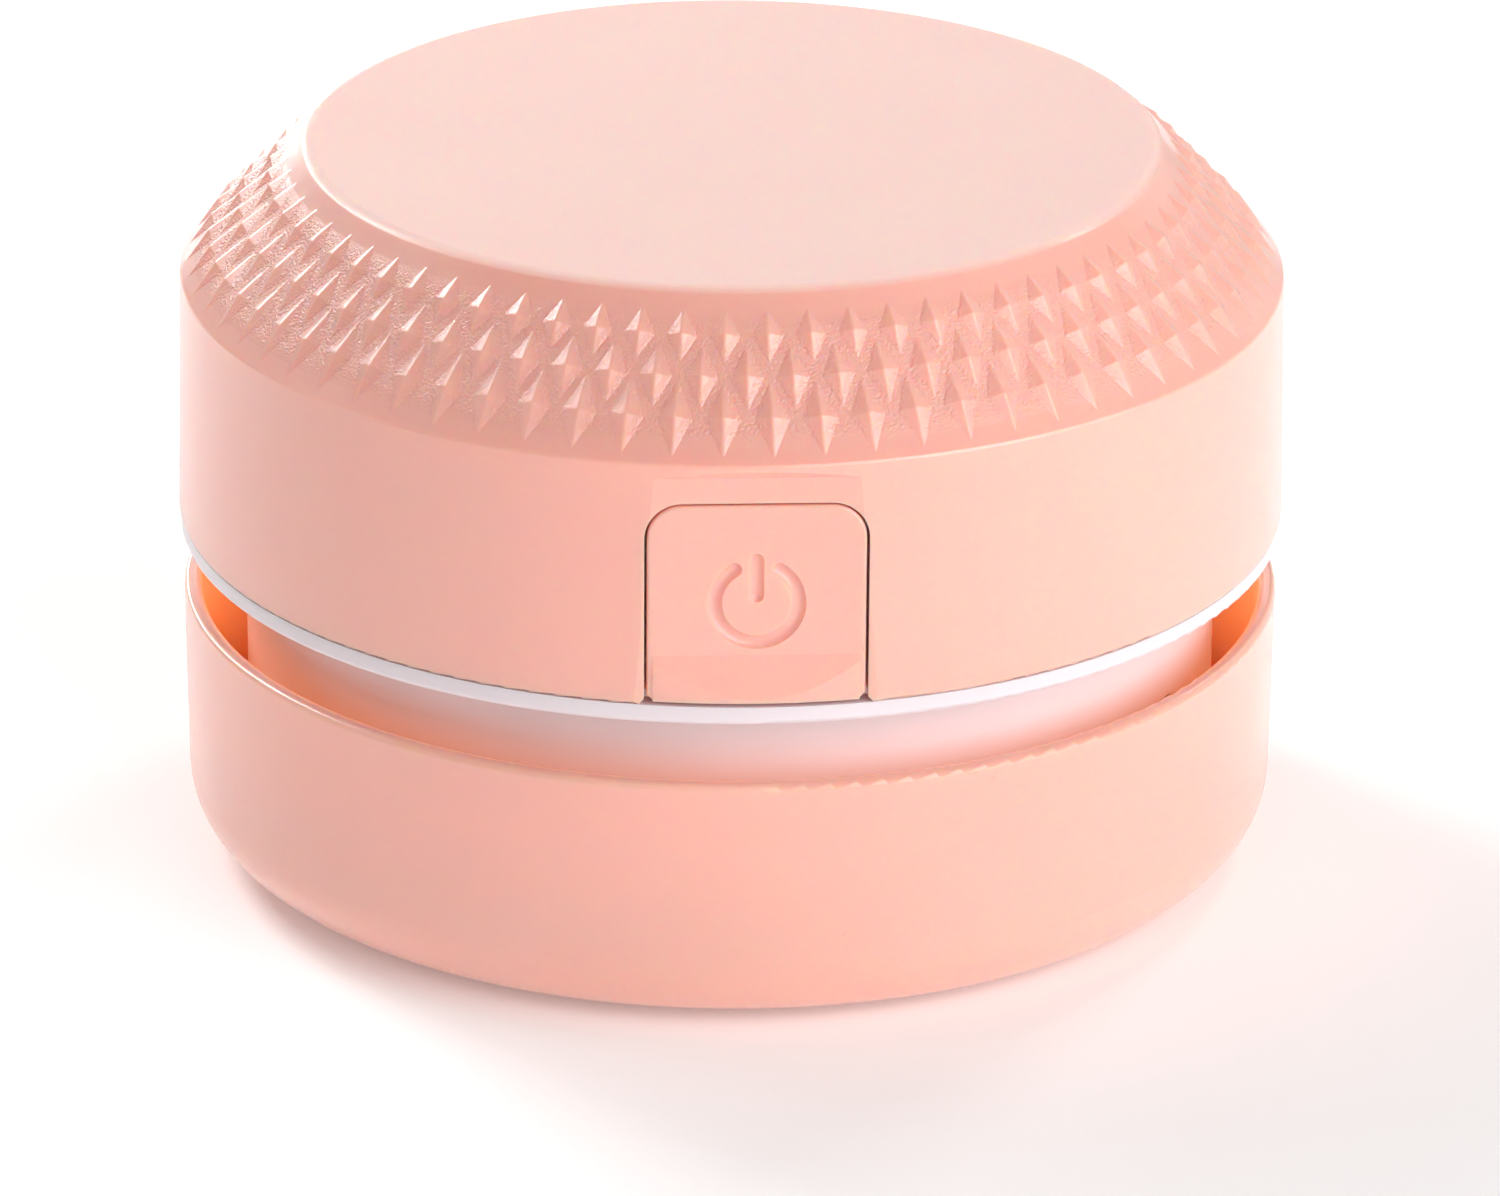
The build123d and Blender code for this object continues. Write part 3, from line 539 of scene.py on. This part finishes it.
class VACUUM_OT_electrics(bpy.types.Operator):
    """Finishes the cell, the boards, the switch, the light and the leads"""

    bl_idname = "vacuum.electrics"
    bl_label = "Finish electrics"

    def execute(self, context):
        for name, pieces, colour, roughness, grain in electric_plastics:
            wear(pieces, moulded_plastic(name, colour, roughness, grain))
        wear(clear_pieces, clear_plastic())
        for name, pieces, colour in insulation:
            wear(pieces, soft_rubber(name, colour))
        return {"FINISHED"}


class VACUUM_OT_stage(bpy.types.Operator):
    """Lays the floor, hangs the lights and sets the camera"""

    bl_idname = "vacuum.stage"
    bl_label = "Set stage"

    def execute(self, context):
        settings = context.scene.vacuum_stage
        lay_floor(settings)
        hang_lights(settings)
        set_camera(settings)
        context.scene.view_settings.view_transform = "Standard"
        return {"FINISHED"}


class VACUUM_PT_panel(bpy.types.Panel):
    """Lists the steps and the sizes"""

    bl_label = "Desktop vacuum cleaner"
    bl_idname = "VACUUM_PT_panel"
    bl_space_type = "VIEW_3D"
    bl_region_type = "UI"
    bl_category = "Vacuum"

    def draw(self, context):
        for operator in operators:
            self.layout.operator(operator.bl_idname)
        for attribute, group in groups.items():
            box = self.layout.box()
            for name in group.__annotations__:
                box.prop(getattr(context.scene, attribute), name)


def brush_nylon():
    """Dark nylon strands, a little lighter from strand to strand."""
    finish = Finish("brush_nylon", specular_ior_level=0.6)
    strands = finish.noise(scale=900)
    finish.colour(finish.blend(strands, (0.03, 0.028, 0.028, 1), (0.10, 0.095, 0.09, 1)))
    finish.rough(0.32 + finish.noise(scale=2500) * 0.2)
    return finish.material


def soft_rubber(name, colour):
    """Soft elastomer: matt, with a dusty bloom."""
    finish = Finish(name, specular_ior_level=0.4)
    bloom = finish.noise(scale=260, detail=4)
    finish.colour(finish.shades(bloom, colour, dark=0.9, light=1.12))
    finish.rough(0.52 + bloom * 0.2)
    finish.bump(finish.noise(scale=1800), strength=0.1, distance=0.00005)
    return finish.material


def open_foam(colour):
    """Open-cell foam: pores painted darker as painted shade in the holes, between paler cell walls."""
    finish = Finish("open_foam", specular_ior_level=0.2)
    cells = finish.node(
        "ShaderNodeTexVoronoi", {"feature": "DISTANCE_TO_EDGE"}, {"Vector": finish.place, "Scale": 1400}
    )
    walls = finish.limit(cells, low=0.02, high=0.18, start=1.0, end=0.0)
    # Painted shade: darker in the pores, lighter on the cell walls
    finish.colour(finish.shades(walls, colour, dark=0.35, light=1.6))
    finish.rough(0.75 + walls * 0.2)
    finish.bump(walls, strength=0.8, distance=0.0003)
    return finish.material


def filter_net():
    """Fine grey woven net."""
    finish = Finish("filter_net", specular_ior_level=0.3)
    sockets = {"Vector": finish.place, "Scale": 900}
    weft, warp = [
        finish.node("ShaderNodeTexWave", {"bands_direction": way, "wave_profile": "SIN"}, sockets)
        for way in ("X", "Y")
    ]
    weave = weft * warp
    finish.colour(finish.blend(weave, (0.18, 0.18, 0.19, 1), (0.42, 0.42, 0.43, 1)))
    finish.rough(0.5 + weave * 0.2)
    finish.bump(weave, strength=0.5, distance=0.0001)
    return finish.material


def clear_plastic():
    """Clear moulded light guide with a milky core."""
    finish = Finish("clear_plastic", transmission_weight=0.6, ior=1.49)
    milk = finish.noise(scale=300)
    finish.colour(finish.blend(milk, (0.86, 0.87, 0.86, 1), (0.97, 0.97, 0.95, 1)))
    finish.rough(0.12 + milk * 0.1)
    return finish.material


def foam_pad(low, high, crown):
    """Round pad with soft rims, thickest in the middle."""
    radius = (high.x - low.x) / 2
    half = (high.z - low.z) / 2
    centre = (low + high) / 2
    edge = half * pad_rim_share
    top = [(0, half)]
    for step in range(1, pad_steps + 1):
        share = step / pad_steps
        top.append((share * (radius - edge), half - crown * share * share))
    rim = []
    for step in range(1, pad_steps):
        angle = math.pi * step / pad_steps
        rim.append((radius - edge + edge * math.sin(angle), (half - crown) * math.cos(angle)))
    outline = top + rim + [(reach, -height) for reach, height in reversed(top)]
    mesh = bmesh.new()
    corners = [mesh.verts.new((reach, 0, height)) for reach, height in outline]
    edges = [mesh.edges.new(pair) for pair in zip(corners, corners[1:])]
    bmesh.ops.spin(
        mesh, geom=corners + edges, cent=(0, 0, 0), axis=(0, 0, 1),
        angle=math.tau, steps=pad_sides, use_merge=True,
    )
    bmesh.ops.remove_doubles(mesh, verts=mesh.verts, dist=pad_weld)
    bmesh.ops.recalc_face_normals(mesh, faces=mesh.faces)
    bmesh.ops.translate(mesh, verts=mesh.verts, vec=centre)
    for face in mesh.faces:
        face.smooth = True
    data = bpy.data.meshes.new("filter_foam")
    mesh.to_mesh(data)
    mesh.free()
    pad = bpy.data.objects.new("filter_foam", data)
    bpy.context.scene.collection.objects.link(pad)
    return pad


def strand_tree(rows, material):
    """Geometry nodes: rings of tufts, each tuft a few tapered strands that hang from the root height."""
    tree = bpy.data.node_groups.new("Brush strands", "GeometryNodeTree")

    def socket(name, kind):
        tree.interface.new_socket(name, in_out="INPUT", socket_type=kind)

    def node(kind, settings=None, sockets=None, output=0):
        item = tree.nodes.new(kind)
        for key, value in (settings or {}).items():
            setattr(item, key, value)
        for key, value in (sockets or {}).items():
            if isinstance(value, bpy.types.NodeSocket):
                tree.links.new(value, item.inputs[key])
            else:
                item.inputs[key].default_value = value
        return item.outputs[output]

    for name in ("Root height", "Length", "Spread", "Root radius", "Tip radius", "Lean"):
        socket(name, "NodeSocketFloat")
    socket("Strands", "NodeSocketInt")
    for row in range(rows):
        socket(f"Radius {row}", "NodeSocketFloat")
        socket(f"Tufts {row}", "NodeSocketInt")
    tree.interface.new_socket("Brush", in_out="OUTPUT", socket_type="NodeSocketGeometry")
    inputs = tree.nodes.new("NodeGroupInput").outputs
    outputs = tree.nodes.new("NodeGroupOutput")
    join = tree.nodes.new("GeometryNodeJoinGeometry")
    for row in range(rows):
        sockets = {"Vertices": inputs[f"Tufts {row}"], "Radius": inputs[f"Radius {row}"]}
        ring = node("GeometryNodeMeshCircle", sockets=sockets)
        tree.links.new(ring, join.inputs[0])
    tufts = node("GeometryNodeMeshToPoints", sockets={"Mesh": join.outputs[0]})
    sockets = {"Geometry": tufts, "Amount": inputs["Strands"]}
    strands = node("GeometryNodeDuplicateElements", {"domain": "POINT"}, sockets)
    spread = node("ShaderNodeVectorMath", {"operation": "SCALE"}, {0: (1, 1, 0), "Scale": inputs["Spread"]})
    narrow = node("ShaderNodeVectorMath", {"operation": "SCALE"}, {0: spread, "Scale": -1})
    sockets = {0: narrow, 1: spread, "Seed": spread_seed}
    wander = node("FunctionNodeRandomValue", {"data_type": "FLOAT_VECTOR"}, sockets)
    drop = node("ShaderNodeCombineXYZ", sockets={"Z": inputs["Root height"]})
    offset = node("ShaderNodeVectorMath", {"operation": "ADD"}, {0: wander, 1: drop})
    placed = node("GeometryNodeSetPosition", sockets={"Geometry": strands, "Offset": offset})
    lean = node("ShaderNodeVectorMath", {"operation": "SCALE"}, {0: (1, 1, 0), "Scale": inputs["Lean"]})
    back = node("ShaderNodeVectorMath", {"operation": "SCALE"}, {0: lean, "Scale": -1})
    sockets = {0: back, 1: lean, "Seed": lean_seed}
    tilt = node("FunctionNodeRandomValue", {"data_type": "FLOAT_VECTOR"}, sockets)
    turned = node("ShaderNodeVectorMath", {"operation": "ADD"}, {0: tilt, 1: (math.pi, 0, 0)})
    sockets = {
        "Vertices": strand_sides,
        "Side Segments": strand_rings,
        "Radius Top": inputs["Tip radius"],
        "Radius Bottom": inputs["Root radius"],
        "Depth": inputs["Length"],
    }
    strand = node("GeometryNodeMeshCone", {"fill_type": "NGON"}, sockets)
    sockets = {2: strand_shortest, 3: 1.0, "Seed": trim_seed}
    trim = node("FunctionNodeRandomValue", {"data_type": "FLOAT"}, sockets, output=1)
    size = node("ShaderNodeCombineXYZ", sockets={"X": 1, "Y": 1, "Z": trim})
    grown = node(
        "GeometryNodeInstanceOnPoints",
        sockets={"Points": placed, "Instance": strand, "Rotation": turned, "Scale": size},
    )
    whole = node("GeometryNodeRealizeInstances", sockets={0: grown})
    dressed = node("GeometryNodeSetMaterial", sockets={"Geometry": whole, "Material": material})
    tree.links.new(dressed, outputs.inputs[0])
    return tree


def solidify_tree(piece, tree, sizes):
    """Runs a geometry tree on a piece and keeps the result as the piece's own mesh."""
    modifier = piece.modifiers.new("nodes", "NODES")
    modifier.node_group = tree
    for item in tree.interface.items_tree:
        if item.item_type == "SOCKET" and item.in_out == "INPUT" and item.name in sizes:
            modifier[item.identifier] = sizes[item.name]
    graph = bpy.context.evaluated_depsgraph_get()
    made = bpy.data.meshes.new_from_object(piece.evaluated_get(graph))
    piece.modifiers.remove(modifier)
    if not made.polygons:
        raise RuntimeError(f"{tree.name} made no faces")
    piece.data = made


def lay_floor(settings):
    half = settings.floor_size / 2
    mesh = bpy.data.meshes.new("floor")
    corners = [(-half, -half, 0), (half, -half, 0), (half, half, 0), (-half, half, 0)]
    mesh.from_pydata(corners, [], [(0, 1, 2, 3)])
    floor = bpy.data.objects.new("floor", mesh)
    bpy.context.scene.collection.objects.link(floor)
    lift = {"emission_color": (1, 1, 1, 1), "emission_strength": settings.floor_lift}
    finish = Finish("pale_floor", specular_ior_level=0.0, **lift)
    paper = finish.noise(scale=12, detail=3)
    finish.colour(finish.shades(paper, settings.floor_colour, dark=0.985, light=1.0))
    finish.rough(0.9 + paper * 0.08)
    mesh.materials.append(finish.material)


def heading(azimuth, elevation):
    """Unit vector, with the azimuth from the front towards +X."""
    turn, rise = math.radians(azimuth), math.radians(elevation)
    return Vector((math.sin(turn) * math.cos(rise), -math.cos(turn) * math.cos(rise), math.sin(rise)))


def softbox(name, place, target, width, height, power, upward=Vector((0, 0, 1))):
    data = bpy.data.lights.new(name, "AREA")
    data.shape = "RECTANGLE"
    data.size = width
    data.size_y = height
    data.energy = power
    box = bpy.data.objects.new(name, data)
    box.location = place
    box.rotation_mode = "QUATERNION"
    back = (place - target).normalized()
    across = upward.cross(back).normalized()
    box.rotation_quaternion = Matrix((across, back.cross(across), back)).transposed().to_quaternion()
    bpy.context.scene.collection.objects.link(box)


def hang_lights(settings):
    world = bpy.data.worlds.new("studio")
    world.use_nodes = True
    world.node_tree.nodes["Background"].inputs["Color"].default_value = (1.0, 1.0, 1.0, 1)
    world.node_tree.nodes["Background"].inputs["Strength"].default_value = settings.fill
    bpy.context.scene.world = world
    middle = Vector((0, 0, light_target))
    for name, azimuth, elevation, side, power in softboxes:
        softbox(name, middle + settings.light_reach * heading(azimuth, elevation), middle, side, side, power)
    first, last = (middle + settings.light_reach * heading(*end) for end in strip_ends)
    run = last - first
    softbox("facet_strip", (first + last) / 2, middle, strip_width, run.length, strip_power, run)


def set_camera(settings):
    data = bpy.data.cameras.new("camera")
    data.sensor_width = sensor_width
    data.lens = settings.lens
    camera = bpy.data.objects.new("camera", data)
    camera.location = settings.camera_place
    camera.rotation_mode = "QUATERNION"
    aim = (Vector(settings.camera_target) - Vector(settings.camera_place)).to_track_quat("-Z", "Y")
    camera.rotation_quaternion = aim @ Quaternion((0, 0, 1), settings.roll)
    bpy.context.scene.collection.objects.link(camera)
    bpy.context.scene.camera = camera


groups = {
    "vacuum_shell": ShellSettings,
    "vacuum_brush": BrushSettings,
    "vacuum_filter": FilterSettings,
    "vacuum_stage": StageSettings,
}
operators = (
    VACUUM_OT_shells,
    VACUUM_OT_brush,
    VACUUM_OT_filter,
    VACUUM_OT_drive,
    VACUUM_OT_electrics,
    VACUUM_OT_stage,
)


def register():
    for attribute, group in groups.items():
        bpy.utils.register_class(group)
        setattr(bpy.types.Scene, attribute, PointerProperty(type=group))
    for item in (*operators, VACUUM_PT_panel):
        bpy.utils.register_class(item)


def unregister():
    for item in (VACUUM_PT_panel, *reversed(operators)):
        bpy.utils.unregister_class(item)
    for attribute, group in reversed(groups.items()):
        delattr(bpy.types.Scene, attribute)
        bpy.utils.unregister_class(group)


def main():
    register()
    bpy.ops.vacuum.shells()
    bpy.ops.vacuum.brush()
    bpy.ops.vacuum.filter()
    bpy.ops.vacuum.drive()
    bpy.ops.vacuum.electrics()
    bpy.ops.vacuum.stage()


if __name__ == "__main__":
    main()
